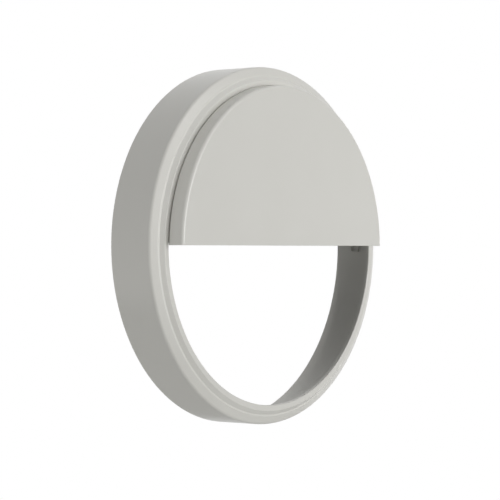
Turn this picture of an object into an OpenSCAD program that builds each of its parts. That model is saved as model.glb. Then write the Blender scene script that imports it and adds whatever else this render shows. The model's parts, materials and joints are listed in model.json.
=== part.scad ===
// Round wall light with a half-moon eyelid visor.
// Every piece is drawn lying on its back: X to the right, Y up the wall and Z out of the wall.
// The last lines stand each piece up, so that the wall is the plane Y = 0 and the light faces -Y.

/* [Trim ring] */
// Outside radius of the ring where it meets the wall
ring_r = 150; // [145:1:160]
// Wall thickness of the ring and the visor mouldings
shell_t = 2.2; // [1.8:0.1:2.6]
// How far the side wall leans in over its height
side_lean = 0.8; // [0.3:0.1:1.2]
// Height of the side wall's front corner
side_h = 39.6; // [39:0.2:46]
// Width of the sloping outer band of the face
band_w = 6.8; // [6:0.2:8]
// Rise of the outer band
band_rise = 3.2; // [2.4:0.2:4]
// Width of the flat bead inside the band
bead_w = 1.4; // [1:0.2:2]
// Width of the sloping cove inside the bead
cove_w = 3.2; // [2.6:0.2:4]
// Rise of the cove
cove_rise = 3; // [2:0.2:3.6]
// Width of the flat lip round the opening
lip_w = 4.8; // [4:0.2:6]
// Depth of the lip's turned-in edge
lip_t = 3.4; // [2.8:0.1:4]
// Width of the ledge inside the lip that the visor stands on
ledge_w = 2.4; // [2.2:0.1:3]
// Thickness of that ledge
ledge_t = 1.8; // [1.4:0.1:2]
// Depth of the ledge below the lip's face
ledge_depth = 0.6; // [0.4:0.1:1]
// Rounding of the corner between the side wall and the outer band
corner_round = 3; // [2:0.25:4]
// Rounding of the ridges of the face
ridge_round = 1.1; // [0.6:0.1:1.3]
// Length of the two locating nibs along the ring
nib_len = 7; // [6:0.5:9]
// Width of the locating nibs
nib_w = 8; // [6:0.5:9]
// Height of the nibs' centre line above the wall
nib_z = 20.5; // [16:0.5:26]
// How far the nibs stand out of the side wall
nib_reach = 2.1; // [1.6:0.1:2.6]

/* [Visor] */
// How far the visor's face stands out from the lip
visor_rise = 13.5; // [11:0.5:18]
// Outside rounding of the visor's front edge
visor_round = 3; // [2.5:0.25:6]
// Number of snap tabs that hang down inside the ledge
tab_n = 5; // [3:1:7]
// Angle that each tab covers
tab_angle = 5; // [4:0.5:7]
// Depth of the tabs' ends below the lip's face
tab_h = 6.4; // [5.8:0.1:7.2]
// Thickness of the tabs
tab_t = 1.6; // [1.4:0.1:2]
// How far the tabs' hooks reach out behind the ledge
hook_reach = 1; // [0.8:0.1:1.4]

/* [Base pan] */
// Thickness of the foam gasket behind the base
wall_gasket_t = 1.5; // [1:0.25:2]
// Width of the foam gasket
wall_gasket_w = 5; // [4:0.5:6]
// Thickness of the base's rear plate
floor_t = 3; // [2.5:0.25:3.5]
// Thickness of the base's rim
rim_t = 2.5; // [2:0.25:3]
// Running gap between the base's rim and the ring
rim_gap = 1.1; // [1:0.1:1.4]
// Height of the base's lower edge above the ring's centre
skirt_y = 2; // [1.5:0.25:3]
// Height of the lamp beam's underside above the ring's centre
beam_y = 20; // [19:0.5:24]
// Thickness of the lamp beam
beam_t = 4; // [3.5:0.25:5]
// Distance from the wall screws out to the base's left and right ends
fix_side = 46; // [44:1:50]
// Distance from the upper wall screws up to the base's highest point
fix_top = 54; // [52:1:56]
// Distance between the lower and upper wall screws
fix_dy = 50; // [47:1:51]
// Radius of the wall screw holes
fix_hole_r = 2.75; // [2.25:0.25:3.25]
// Height of the cable entry above the ring's centre
entry_y = 100; // [96:1:106]
// Radius of the cable entry's hole in the base
entry_r = 10; // [9:0.5:11]
// Radius of the cable grommet's bore
cable_r = 4.2; // [3.5:0.1:5]

/* [Gear cover and screws] */
// Thickness of the silicone gaskets
seal_t = 0.8; // [0.6:0.1:1]
// Thickness of the gear cover
cover_t = 2.5; // [2:0.1:2.6]
// Height of the raised field on the gear cover
field_h = 1.2; // [0.8:0.1:1.4]
// Gap between the gear cover's screw heads and the visor's tabs
cover_gap = 0.5; // [0.4:0.1:1]
// Thread radius of the small screws
screw_r = 1.35; // [1.25:0.05:1.5]
// Head radius of the small screws
head_r = 2.5; // [2.2:0.1:2.7]
// Head height of the small screws
head_h = 1.6; // [1.2:0.1:1.8]

/* [Lamp] */
// Space left at each end of the lamp board for its leads
board_gap = 7; // [6:0.5:12]
// Gap between the lamp board's long edges and the opal trough
board_edge = 0.9; // [0.5:0.1:1.2]
// Thickness of the lamp board
board_t = 1.6; // [1:0.2:2]
// Number of lamp chips
chip_n = 22; // [12:1:26]
// Space left between the base's rim and each end of the opal trough's flange
trough_gap = 6; // [5:0.5:9]
// Wall thickness of the opal trough
trough_t = 2; // [1.6:0.1:2.2]
// Lowest point of the opal trough above the ring's centre
trough_y = 3.2; // [2.6:0.2:5]
// Rounding of the trough's long lower edges
trough_round = 5; // [3.5:0.25:6]

/* [Driver and terminals] */
// Length of the driver's case
driver_len = 104; // [90:1:108]
// Width of the driver's case
driver_w = 34; // [30:1:36]
// Depth of the driver's case
driver_h = 22; // [18:0.5:24]
// Distance between the terminal levers
pole_pitch = 11; // [10:0.25:12]
// Height of the terminal block
block_h = 13; // [11:0.5:14]
// Length of each terminal lever
lever_len = 12; // [10:0.5:13]
// Radius of the insulated leads
lead_r = 1.1; // [0.9:0.1:1.2]

/* [Hidden] */
$fn = 96;

// Clearances: a loose fit, a pin in its bore, and a piece that lies beside its seat
fit = 0.25;
run_fit = 0.06;
seat = 0.3;

// Radii and heights of the ring's face, from the side wall in to the opening
side_r = ring_r - side_lean;
band_r = side_r - band_w;
bead_r = band_r - bead_w;
cove_r = bead_r - cove_w;
lip_r = cove_r - lip_w;
band_z = side_h + band_rise;
lip_z = band_z + cove_rise;
ledge_r = lip_r - ledge_w;
ledge_z = lip_z - ledge_depth;
ledge_back = ledge_z - ledge_t;
visor_r = lip_r - fit;
visor_z = lip_z + visor_rise;
tab_z = lip_z - tab_h;

// Radius of the side wall's inner face at height z, which leans in with its outer face
function bore_r(z) = ring_r - shell_t - side_lean * z / side_h;

// The base, with its cover's screw heads just below the visor's tabs
rim_h = tab_z - cover_gap - head_h - cover_t - seal_t;
base_r = bore_r(rim_h) - rim_gap;
rim_in_r = base_r - rim_t;
floor_z = wall_gasket_t + floor_t;
beam_top = beam_y + beam_t;
cover_z = rim_h + seal_t;
post_h = 3;
post_z = floor_z + post_h;

// The trough hangs under the beam, and its flange fills the beam's depth
flange_end = 6;
flange_reach = 2 * head_r + 0.6;
flange_w = rim_h - floor_z - 2 * fit;
trough_w = flange_w - 2 * flange_reach;
board_w = trough_w - 2 * trough_t - 2 * board_edge;
lamp_z = (floor_z + rim_h) / 2;
trough_len = 2 * (sqrt(rim_in_r ^ 2 - beam_y ^ 2) - trough_gap - flange_end);

// Holes and grommet for the insulated leads
lead_hole = lead_r + 0.1;
lead_pair = lead_r + 0.3;
lead_neck_r = lead_pair + lead_hole + 0.6;
lead_flange_r = lead_neck_r + 1.2;
lead_z = floor_z + 11;
lead_x = trough_len / 2 - trough_t - lead_flange_r - fit;
board_len = 2 * (lead_x - lead_flange_r - board_gap);

// Outlines

function unit(v) = v / norm(v);
function flat(p) = [p.x, p.y];

// Arc that rounds the corner b of the path a, b, c
function round_corner(a, b, c, r, n = 6) =
    r <= 0 ? [flat(b)] :
    let (
        to_a = unit(flat(a) - flat(b)),
        to_c = unit(flat(c) - flat(b)),
        half = acos(to_a * to_c) / 2,
        middle = flat(b) + unit(to_a + to_c) * r / sin(half),
        start = flat(b) + to_a * r / tan(half) - middle,
        turn = sign(cross(-to_a, to_c)) * (180 - 2 * half),
        from = atan2(start.y, start.x)
    )
    [for (i = [0 : n]) middle + r * [cos(from + turn * i / n), sin(from + turn * i / n)]];

// A closed outline whose points are [x, y, corner radius]
function rounded(path) =
    let (n = len(path))
    [for (i = [0 : n - 1])
        each round_corner(path[(i + n - 1) % n], path[i], path[(i + 1) % n], path[i][2])];

// The point at distance t to the left of the corner b of the path a, b, c
function left_of(v) = [-v.y, v.x];
function offset_corner(a, b, c, t) =
    let (
        n1 = left_of(unit(b - a)),
        n2 = left_of(unit(c - b))
    )
    b + t * (n1 + n2) / (1 + n1 * n2);

// The part of a disc that lies above the height y
module half_moon(r, y) {
    intersection() {
        circle(r);
        translate([-r, y]) square([2 * r, r]);
    }
}

module half_moon_loop(r, y, w, w_y) {
    difference() {
        half_moon(r, y);
        half_moon(r - w, y + w_y);
    }
}

// A cross-headed screw that points along -Z, with the underside of its head at Z = 0
module pan_screw(length, radius = head_r, height = head_h) {
    slot_w = 0.7;
    translate([0, 0, -length]) cylinder(r = screw_r, h = length + 0.1, $fn = 32);
    difference() {
        cylinder(r = radius, h = height, $fn = 48);
        for (turn = [0, 90])
            rotate([0, 0, turn])
                translate([-radius * 0.55, -slot_w / 2, height * 0.45])
                    cube([radius * 1.1, slot_w, height]);
    }
}

// A hole for a screw's thread, or one that the screw passes through
module screw_hole(h, gap = run_fit) {
    cylinder(r = screw_r + gap, h = h, $fn = 32);
}

// Trim ring

face = [
    [ring_r, 0], [side_r, side_h], [band_r, band_z],
    [bead_r, band_z], [cove_r, lip_z], [lip_r, lip_z]
];
face_round = [0, corner_round, ridge_round, ridge_round, ridge_round, ridge_round];
edge_round = 0.4;

// The moulding's section: out over the face, round the lip's edge and back along the inside
ring_outline = rounded(concat(
    [for (i = [0 : 5]) [face[i].x, face[i].y, face_round[i]]],
    [[lip_r, lip_z - lip_t, edge_round], [lip_r + shell_t, lip_z - lip_t, edge_round]],
    [[lip_r + shell_t, lip_z - shell_t, 0]],
    [for (i = [4 : -1 : 1])
        let (p = offset_corner(face[i - 1], face[i], face[i + 1], shell_t))
        [p.x, p.y, max(edge_round, face_round[i] - shell_t)]],
    [[ring_r - shell_t, 0, 0]]
));

nib_top = skirt_y - seat;
nib_wall = 0.9;
nib_round = 1.5;

// The nib's outline as seen from the ring's axis, drawn inset from its edge
module nib_outline(inset) {
    w = nib_w / 2 - inset;
    r = nib_round - inset;
    polygon(rounded([
        [-w, inset, r], [w, inset, r], [w, nib_len - inset, r], [-w, nib_len - inset, r]
    ]));
}

// A nib that keeps the ring from turning on the base, cored out so that its wall doesn't sink
module locating_nib() {
    root = bore_r(nib_z) + shell_t / 2;
    tip = bore_r(nib_z) - nib_reach;
    translate([tip, nib_top - nib_len, nib_z])
        rotate([0, 90, 0]) difference() {
            linear_extrude(root - tip) nib_outline(0);
            translate([0, 0, -0.1]) linear_extrude(nib_reach - 0.2) nib_outline(nib_wall);
        }
}

// The half-round ledge inside the lip, which ends just above the visor's lower edge
module visor_ledge() {
    ledge_end = 1;
    rotate([0, 0, ledge_end])
        rotate_extrude(angle = 180 - 2 * ledge_end, $fn = 180)
            polygon(rounded([
                [lip_r + shell_t / 2, ledge_back, 0], [lip_r + shell_t / 2, ledge_z, 0],
                [ledge_r, ledge_z, edge_round], [ledge_r, ledge_back, edge_round]
            ]));
}

module trim_ring() {
    color("gainsboro") {
        rotate_extrude($fn = 180) polygon(ring_outline);
        visor_ledge();
        for (side = [0, 1]) mirror([side, 0, 0]) locating_nib();
    }
}

// Visor

wall_r = visor_r - shell_t;
tab_r = ledge_r - fit;
tab_in_r = tab_r - tab_t;
tab_root = ledge_z + 3.5;
hook_z = ledge_back - fit;
hook_lip = 0.6;

// The shell's section, from its foot on the ledge over the front edge to the middle
visor_outline = rounded([
    [visor_r, ledge_z, edge_round],
    [visor_r, visor_z, visor_round],
    [0, visor_z, 0],
    [0, visor_z - shell_t, 0],
    [wall_r, visor_z - shell_t, visor_round - shell_t],
    [wall_r, ledge_z, edge_round]
]);

// A tab with a hook that snaps in behind the ledge
module snap_tab() {
    rotate([0, 0, -tab_angle / 2])
        rotate_extrude(angle = tab_angle, $fn = 180)
            polygon(rounded([
                [wall_r + shell_t / 2, tab_root, 0],
                [wall_r, tab_root, 0],
                [tab_in_r, tab_root - (wall_r - tab_in_r), edge_round],
                [tab_in_r, tab_z, edge_round],
                [tab_r, tab_z, 0],
                [tab_r + hook_reach, hook_z - hook_lip, 0],
                [tab_r + hook_reach, hook_z, 0],
                [tab_r, hook_z, 0],
                [tab_r, ledge_z + 0.6, 0],
                [wall_r + shell_t / 2, ledge_z + 0.6, 0]
            ]));
}

module visor() {
    color("gainsboro") {
        rotate_extrude(angle = 180, $fn = 180) polygon(visor_outline);
        for (i = [0 : tab_n - 1]) rotate([0, 0, 180 * (i + 0.5) / tab_n]) snap_tab();
    }
}

// Base pan

fix_boss_r = 7;
fix_boss_h = 5;
boss_r = 4.5;
boss_x = 46;
boss_angles = [12, 52, 90, 128, 168];
boss_merge = 0.6;
post_r = 4;
rib_t = 2;

clip_angles = [28, 66, 114, 152];
pocket_depth = 1.3;
pocket_r = base_r - pocket_depth;
pocket_w = 11;
pocket_z = wall_gasket_t + 3;
pocket_h = rim_h - pocket_z - 3;
clip_screw_z = pocket_z + 4;
clip_boss_r = 3.5;

earth_at = [-46, entry_y - 4];
earth_r = 2;
earth_boss_r = 6;
earth_boss_h = 4;

// Wall screws sit on whole millimetres, so that the wall can be drilled with a rule
fix_x = round(base_r - fix_side);
fix_y = round(base_r - fix_top);
fix_points = [for (x = [-1, 1], row = [0, 1]) [x * fix_x, fix_y - row * fix_dy]];
cover_points = concat(
    [for (a = boss_angles) (rim_in_r - boss_r + boss_merge) * [cos(a), sin(a)]],
    [for (side = [-1, 1]) [side * boss_x, beam_top + boss_r - boss_merge]]
);

// A stiffening rib from a wall screw's boss out to the rim
module boss_rib(p) {
    rotate([0, 0, atan2(p.y, p.x)])
        translate([norm(p), -rib_t / 2, floor_z - 0.1])
            cube([rim_in_r - norm(p) + 0.1, rib_t, fix_boss_h - 1]);
}

module base_bosses() {
    for (p = fix_points) {
        translate([p.x, p.y, floor_z - 0.1]) cylinder(r = fix_boss_r, h = fix_boss_h + 0.1, $fn = 64);
        boss_rib(p);
    }
    for (p = cover_points)
        translate([p.x, p.y, floor_z - 0.1]) cylinder(r = boss_r, h = rim_h - floor_z + 0.1, $fn = 48);
    for (p = concat(driver_points, block_points))
        translate([p.x, p.y, floor_z - 0.1]) cylinder(r = post_r, h = post_h + 0.1, $fn = 48);
    translate([earth_at.x, earth_at.y, floor_z - 0.1])
        cylinder(r = earth_boss_r, h = earth_boss_h + 0.1, $fn = 48);
    for (a = clip_angles)
        rotate([0, 0, a])
            translate([rim_in_r - 3, 0, clip_screw_z])
                rotate([0, 90, 0]) cylinder(r = clip_boss_r, h = 3.5, $fn = 40);
}

module base_holes() {
    for (p = fix_points)
        translate([p.x, p.y, 0]) cylinder(r = fix_hole_r, h = rim_h, $fn = 48);
    for (p = cover_points)
        translate([p.x, p.y, rim_h - cover_screw_len - 2]) screw_hole(cover_screw_len + 3);
    for (p = concat(driver_points, block_points))
        translate([p.x, p.y, wall_gasket_t + 1]) screw_hole(8);
    translate([earth_at.x, earth_at.y, floor_z - 1])
        cylinder(r = earth_r + run_fit, h = earth_boss_h + 2, $fn = 40);
    translate([0, entry_y, 0]) cylinder(r = entry_r, h = floor_z + 1, $fn = 64);
    for (a = clip_angles)
        rotate([0, 0, a]) {
            translate([pocket_r, -pocket_w / 2, pocket_z]) cube([4, pocket_w, pocket_h]);
            translate([rim_in_r - 2, 0, clip_screw_z]) rotate([0, 90, 0]) screw_hole(8);
        }
    for (x = board_screw_x)
        beam_hole(x, lamp_z);
    for (p = trough_points)
        beam_hole(p.x, p.y);
    translate([-lead_x, beam_y - 1, lamp_z])
        rotate([-90, 0, 0]) cylinder(r = lead_neck_r + 0.1, h = beam_t + 2, $fn = 40);
}

// A blind screw hole up into the lamp beam
module beam_hole(x, z) {
    translate([x, beam_y - 1, z]) rotate([-90, 0, 0]) screw_hole(beam_t);
}

module base_pan() {
    color("whitesmoke") difference() {
        union() {
            translate([0, 0, wall_gasket_t]) {
                linear_extrude(floor_t) half_moon(base_r, skirt_y);
                linear_extrude(rim_h - wall_gasket_t) difference() {
                    half_moon(base_r, skirt_y);
                    circle(rim_in_r);
                }
                linear_extrude(rim_h - wall_gasket_t) difference() {
                    half_moon(base_r, beam_y);
                    half_moon(2 * base_r, beam_top);
                }
            }
            base_bosses();
        }
        base_holes();
    }
}

module wall_gasket() {
    color("dimgray")
        linear_extrude(wall_gasket_t)
            half_moon_loop(base_r - 1, skirt_y + 1, wall_gasket_w, wall_gasket_w);
}

grommet_flange = 3;
grommet_nose = 8;

// Soft grommet that seals the supply cable in the base's rear plate
module cable_grommet() {
    neck = entry_r - fit;
    flange = entry_r + grommet_flange;
    front = floor_z + 1.8;
    nose = front + grommet_nose;
    color("dimgray") translate([0, entry_y, 0])
        rotate_extrude($fn = 96)
            polygon([
                [cable_r, 0.3], [flange, 0.3], [flange, wall_gasket_t - 0.1],
                [neck, wall_gasket_t - 0.1], [neck, floor_z + 0.1], [flange, floor_z + 0.1],
                [flange - 0.8, front], [cable_r + 3.2, front],
                [cable_r + 1.2, nose], [cable_r, nose]
            ]);
}

// Gear cover

cover_screw_len = 10;
cover_edge = 1.2;
field_inset = 17;
field_y = beam_top + 12;

module gear_cover() {
    field_r = rim_in_r - field_inset;
    color("whitesmoke") difference() {
        translate([0, 0, cover_z]) {
            linear_extrude(cover_t) half_moon(base_r - cover_edge, beam_y + fit);
            linear_extrude(cover_t + field_h) half_moon(field_r, field_y);
        }
        translate([0, 0, cover_z - 1])
            linear_extrude(field_h + 1) half_moon(field_r - cover_t, field_y + cover_t);
        for (p = cover_points)
            translate([p.x, p.y, cover_z - 1]) screw_hole(cover_t + 2, fit);
    }
}

module cover_gasket() {
    color("darkgray")
        translate([0, 0, rim_h])
            linear_extrude(seal_t)
                half_moon_loop(base_r - fit, beam_y + fit, rim_t - 2 * fit, beam_t - 2 * fit);
}

module cover_screws() {
    color("silver") for (p = cover_points)
        translate([p.x, p.y, cover_z + cover_t]) pan_screw(cover_screw_len);
}

// Spring clips that grip the ring's inner face

leaf_t = 0.5;
leaf_w = 8;
leaf_start = pocket_z + 0.8;
leaf_end = pocket_z + pocket_h - 1;
leaf_foot = clip_screw_z + 4;
leaf_crest = (leaf_foot + leaf_end) / 2;
leaf_bow = bore_r(leaf_crest) - seat - pocket_r - leaf_t;

// Radius of the leaf's inner face: flat at its foot, then one smooth bow
function leaf_r(z) =
    pocket_r + (z < leaf_foot ? 0 :
    leaf_bow * (0.5 - 0.5 * cos(360 * (z - leaf_foot) / (leaf_end - leaf_foot))));

module spring_leaf() {
    steps = 16;
    heights = concat([leaf_start], [for (i = [0 : steps]) leaf_foot + (leaf_end - leaf_foot) * i / steps]);
    inner = [for (z = heights) [leaf_r(z), z]];
    outer = [for (i = [steps + 1 : -1 : 0]) [leaf_r(heights[i]) + leaf_t, heights[i]]];
    difference() {
        translate([0, leaf_w / 2, 0])
            rotate([90, 0, 0]) linear_extrude(leaf_w) polygon(concat(inner, outer));
        translate([pocket_r - 1, 0, clip_screw_z]) rotate([0, 90, 0]) screw_hole(4, fit);
    }
}

module spring_clips() {
    color("lightsteelblue") for (a = clip_angles)
        rotate([0, 0, a]) spring_leaf();
}

module clip_screws() {
    color("silver") for (a = clip_angles)
        rotate([0, 0, a])
            translate([pocket_r + leaf_t, 0, clip_screw_z])
                rotate([0, 90, 0]) pan_screw(3.4, head_r, 1.2);
}

// Lamp

chip_size = [3.5, 0.8, 2.8];
chip_margin = 14;
chip_pitch = (board_len - 2 * chip_margin) / (chip_n - 1);
board_head_r = 1.9;
board_head_h = 1.1;
chip_stagger = board_head_r + fit + chip_size.z / 2;
socket_size = [6, 3.4, 8];
socket_pole = 2;
board_bottom = beam_y - board_t;
board_left = -board_len / 2;
board_screw_x = [for (k = [-1, 0, 1]) k * (board_len / 2 - 2 * chip_margin)];

module lamp_board() {
    color("white") difference() {
        translate([board_left, board_bottom, lamp_z - board_w / 2]) cube([board_len, board_t, board_w]);
        for (x = board_screw_x)
            translate([x, board_bottom - 1, lamp_z]) rotate([-90, 0, 0]) screw_hole(board_t + 2, fit);
    }
}

// The chips stand in two rows, one on each side of the board's screws
module lamp_chips() {
    color("khaki") for (i = [0 : chip_n - 1])
        translate([
            (i - (chip_n - 1) / 2) * chip_pitch - chip_size.x / 2,
            board_bottom - chip_size.y,
            lamp_z + (i % 2 == 0 ? chip_stagger : -chip_stagger) - chip_size.z / 2
        ])
            cube(chip_size);
}

module lamp_socket() {
    color("ivory") difference() {
        translate([board_left + 1, board_bottom - socket_size.y, lamp_z - socket_size.z / 2])
            cube(socket_size);
        for (side = [-1, 1])
            translate([board_left, board_bottom - socket_size.y / 2, lamp_z + side * socket_pole])
                rotate([0, 90, 0]) cylinder(r = lead_hole, h = 4.5, $fn = 24);
    }
}

module board_screws() {
    color("silver") for (x = board_screw_x)
        translate([x, board_bottom, lamp_z])
            rotate([90, 0, 0]) pan_screw(board_t + beam_t - 1.4, board_head_r, board_head_h);
}

// Opal trough

flange_t = 2;
flange_top = beam_y - seal_t;
trough_screw_z = trough_w / 2 + head_r + 0.2;

// Two rows of four screws along the trough's long walls, as [x, z]
trough_points = [
    for (k = [-1, -1 / 3, 1 / 3, 1], side = [-1, 1])
        [k * (trough_len / 2 - 10), lamp_z + side * trough_screw_z]
];

// The trough's cross-section, as [z, y] with its open side up
module trough_section(inset) {
    w = trough_w / 2 - inset;
    low = trough_y + inset;
    r = max(0.5, trough_round - inset);
    polygon(rounded([
        [-w, flange_top, 0], [-w, low, r], [w, low, r], [w, flange_top, 0]
    ]));
}

// Extrudes a [z, y] outline along X about the middle of the light
module along_x(length) {
    translate([-length / 2, 0, lamp_z])
        rotate([0, 90, 0]) linear_extrude(length) mirror([1, 0]) children();
}

module opal_trough() {
    inside = trough_len - 2 * trough_t;
    inside_w = trough_w - 2 * trough_t;
    color("white") difference() {
        union() {
            along_x(trough_len) trough_section(0);
            translate([-trough_len / 2 - flange_end, flange_top - flange_t, lamp_z - flange_w / 2])
                cube([trough_len + 2 * flange_end, flange_t, flange_w]);
        }
        along_x(inside) trough_section(trough_t);
        translate([-inside / 2, flange_top - 1, lamp_z - inside_w / 2]) cube([inside, 2, inside_w]);
        for (p = trough_points)
            translate([p.x, flange_top - flange_t - 1, p.y])
                rotate([-90, 0, 0]) screw_hole(flange_t + 2, fit);
    }
}

module trough_gasket() {
    color("darkgray") difference() {
        translate([-trough_len / 2, flange_top, lamp_z - trough_w / 2]) cube([trough_len, seal_t, trough_w]);
        translate([-trough_len / 2 + trough_t, flange_top - 1, lamp_z - trough_w / 2 + trough_t])
            cube([trough_len - 2 * trough_t, seal_t + 2, trough_w - 2 * trough_t]);
    }
}

module trough_screws() {
    color("silver") for (p = trough_points)
        translate([p.x, flange_top - flange_t, p.y])
            rotate([90, 0, 0]) pan_screw(flange_t + seal_t + beam_t - 1.6);
}

// Driver

cap_t = 3;
cap_inset = 1;
ear_len = 9;
ear_w = 12;
ear_t = 2.5;
driver_pole = 9;
driver_shift = 22;
driver_left = -driver_len / 2 - driver_shift;
driver_right = driver_left + driver_len;
driver_rise = 15;
driver_y = beam_top + driver_rise;
driver_top = driver_y + driver_w;
driver_mid_y = driver_y + driver_w / 2;
driver_z = floor_z + seat;
driver_points = [
    [driver_left - cap_t - ear_len / 2, driver_mid_y],
    [driver_right + cap_t + ear_len / 2, driver_mid_y]
];

module driver_case() {
    groove_w = 1.6;
    groove_t = 0.8;
    color("lightgray") difference() {
        translate([driver_left, driver_y, driver_z])
            rotate([90, 0, 90])
                linear_extrude(driver_len)
                    polygon(rounded([
                        [0, 0, 1], [driver_w, 0, 1], [driver_w, driver_h, 3], [0, driver_h, 3]
                    ]));
        for (k = [1 : 4])
            translate([driver_left - 1, driver_y + driver_w * k / 5, driver_z + driver_h])
                translate([0, -groove_w / 2, -groove_t]) cube([driver_len + 2, groove_w, 2]);
    }
}

// The left end cap with its screw ear, about the middle of the case's left end
module driver_end_cap() {
    difference() {
        union() {
            translate([-cap_t, cap_inset - driver_w / 2, driver_z])
                cube([cap_t, driver_w - 2 * cap_inset, driver_h - cap_inset]);
            translate([-cap_t - ear_len, -ear_w / 2, post_z]) cube([ear_len + 0.1, ear_w, ear_t]);
        }
        translate([-cap_t - ear_len / 2, 0, post_z - 1]) screw_hole(ear_t + 2, fit);
        for (side = [-1, 1])
            translate([-cap_t - 1, side * driver_pole, lead_z])
                rotate([0, 90, 0]) cylinder(r = lead_hole, h = cap_t, $fn = 24);
    }
}

module driver_end_caps() {
    color("dimgray") {
        translate([driver_left, driver_mid_y, 0]) driver_end_cap();
        translate([driver_right, driver_mid_y, 0]) mirror([1, 0, 0]) driver_end_cap();
    }
}

module driver_screws() {
    color("silver") for (p = driver_points)
        translate([p.x, p.y, post_z + ear_t]) pan_screw(post_h + ear_t + 1);
}

// Terminal block with three levers

block_side = 1.5;
block_w = 3 * pole_pitch + 2 * block_side;
block_d = 24;
block_ear = 8;
block_left = driver_right + cap_t + ear_len + block_ear + 2;
block_y = driver_mid_y - 6;
block_top_y = block_y + block_d;
block_z = post_z;
block_lead_z = block_z + 4.6;
supply_r = 2.2;
supply_depth = 8;
slot_gap = 0.3;

lever_w = pole_pitch - 2.4;
lever_t = 2.2;
lever_tail = 1.4;
pivot_r = 1.2;
pin_reach = 0.9;
pivot_y = block_top_y - 4;
pivot_z = block_z + block_h - 0.6 - lever_t / 2;

pole_x = [for (i = [0 : 2]) block_left + block_side + pole_pitch * (i + 0.5)];
block_points = [
    for (x = [block_left - block_ear / 2, block_left + block_w + block_ear / 2])
        [x, block_y + block_d / 2]
];

// The slot that a lever lies in, the pocket that its tail turns in and the bore of its pin
module lever_seat() {
    wide = lever_w + 2 * slot_gap;
    pin_len = lever_w + 2 * (pin_reach + fit);
    translate([-wide / 2, block_y - pivot_y - 1, -lever_t / 2 - slot_gap])
        cube([wide, block_d - 1, 2 * lever_t]);
    translate([-wide / 2, 0, 0])
        rotate([0, 90, 0]) cylinder(r = norm([lever_tail, lever_t / 2]) + 0.2, h = wide, $fn = 40);
    translate([-pin_len / 2, 0, 0])
        rotate([0, 90, 0]) cylinder(r = pivot_r + run_fit, h = pin_len, $fn = 40);
}

module terminal_block() {
    color("lightgray") difference() {
        union() {
            translate([block_left, block_y, block_z]) cube([block_w, block_d, block_h]);
            for (p = block_points)
                translate([p.x - block_ear / 2 - 0.05, p.y - 5, block_z]) cube([block_ear + 0.1, 10, ear_t]);
        }
        for (x = pole_x) {
            translate([x, pivot_y, pivot_z]) lever_seat();
            // The supply's wires go in at the lower side and the leads at the upper side
            translate([x, block_y - 1, block_lead_z])
                rotate([-90, 0, 0]) cylinder(r = supply_r, h = supply_depth + 1, $fn = 32);
            translate([x, block_top_y - 6, block_lead_z])
                rotate([-90, 0, 0]) cylinder(r = lead_hole, h = 7, $fn = 24);
        }
        for (p = block_points)
            translate([p.x, p.y, block_z - 1]) screw_hole(ear_t + 2, fit);
    }
}

module terminal_screws() {
    color("silver") for (p = block_points)
        translate([p.x, p.y, block_z + ear_t]) pan_screw(post_h + ear_t + 1);
}

// A lever lies shut on the block, with its pivot pin near its upper end
module lever(i) {
    grip_n = 3;
    translate([pole_x[i], pivot_y, pivot_z]) {
        translate([-lever_w / 2 - pin_reach, 0, 0])
            rotate([0, 90, 0]) cylinder(r = pivot_r, h = lever_w + 2 * pin_reach, $fn = 40);
        translate([-lever_w / 2, 0, 0])
            rotate([90, 0, 90])
                linear_extrude(lever_w)
                    polygon(rounded([
                        [lever_tail, -lever_t / 2, 0.6], [lever_tail, lever_t / 2, 0.6],
                        [-lever_len, lever_t / 2, 0.6], [-lever_len, -lever_t / 2, 0.6]
                    ]));
        for (k = [0 : grip_n - 1])
            translate([-lever_w / 2, -lever_len + 1 + 1.5 * k, lever_t / 2 - 0.1])
                cube([lever_w, 0.7, 0.4]);
    }
}

module lever_live() {
    color("saddlebrown") lever(0);
}

module lever_neutral() {
    color("steelblue") lever(1);
}

module lever_earth() {
    color("yellowgreen") lever(2);
}

// Earth post

washer_t = 0.8;
tag_t = 0.8;
tag_reach = 9;
nut_h = 3.2;
nut_r = 4;
barrel_z = lead_r + 0.6;
barrel_len = 5;
earth_z = floor_z + earth_boss_h;
tag_z = earth_z + washer_t;

module earth_stud() {
    stack = earth_boss_h + washer_t + tag_t + nut_h;
    color("goldenrod") translate([earth_at.x, earth_at.y, floor_z - 0.8])
        cylinder(r = earth_r, h = 0.8 + stack + 3, $fn = 40);
}

module earth_washer() {
    color("silver") translate([earth_at.x, earth_at.y, earth_z]) difference() {
        cylinder(r = nut_r + 0.4, h = washer_t, $fn = 48);
        translate([0, 0, -1]) cylinder(r = earth_r + 0.2, h = washer_t + 2, $fn = 40);
    }
}

// Ring tag with a barrel that holds the earth lead
module earth_tag() {
    color("silver") translate([earth_at.x, earth_at.y, tag_z]) difference() {
        union() {
            cylinder(r = nut_r, h = tag_t, $fn = 48);
            translate([0, -1.6, 0]) cube([tag_reach, 3.2, tag_t]);
            translate([tag_reach - 1.5, 0, barrel_z])
                rotate([0, 90, 0]) cylinder(r = barrel_z, h = barrel_len, $fn = 32);
        }
        translate([0, 0, -1]) cylinder(r = earth_r + 0.2, h = tag_t + 2, $fn = 40);
        translate([tag_reach, 0, barrel_z])
            rotate([0, 90, 0]) cylinder(r = lead_hole, h = barrel_len, $fn = 24);
    }
}

module earth_nut() {
    color("goldenrod") translate([earth_at.x, earth_at.y, tag_z + tag_t]) difference() {
        cylinder(r = nut_r, h = nut_h, $fn = 6);
        translate([0, 0, -1]) cylinder(r = earth_r + 0.1, h = nut_h + 2, $fn = 40);
    }
}

// Leads

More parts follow.
